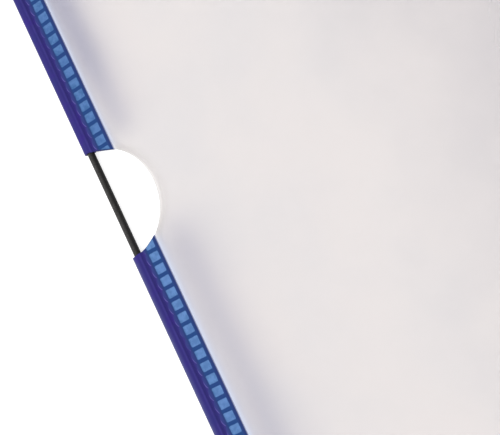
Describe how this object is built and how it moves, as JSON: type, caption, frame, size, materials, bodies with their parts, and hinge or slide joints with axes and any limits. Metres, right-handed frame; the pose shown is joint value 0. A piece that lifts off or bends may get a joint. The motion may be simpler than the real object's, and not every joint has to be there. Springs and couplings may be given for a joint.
{
  "type": "wire-framed display panel",
  "caption": "Flat clear pocket for an A4 sheet in a blue welded edging, hemmed round a steel wire with pivot pins at its two ends and a half-round finger notch.",
  "frame": {"origin": "under the middle of the panel, at the level of the surface that it lies on", "axes": "+X across the panel towards the hinge side, +Y up the panel towards the pocket's mouth, +Z out of the front"},
  "size_m": [0.2336, 0.3366, 0.003],
  "materials": {
    "wire": "satin black coat on steel wire",
    "edging": "soft blue plastic, smooth, slightly see-through where it is pressed thin",
    "film": "clear film with an antiglare grain"
  },
  "bodies": {
    "root": {"wire_frame": "wire", "edge_binding": "edging", "front_film": "film", "back_film": "film"}
  },
  "joints": []
}
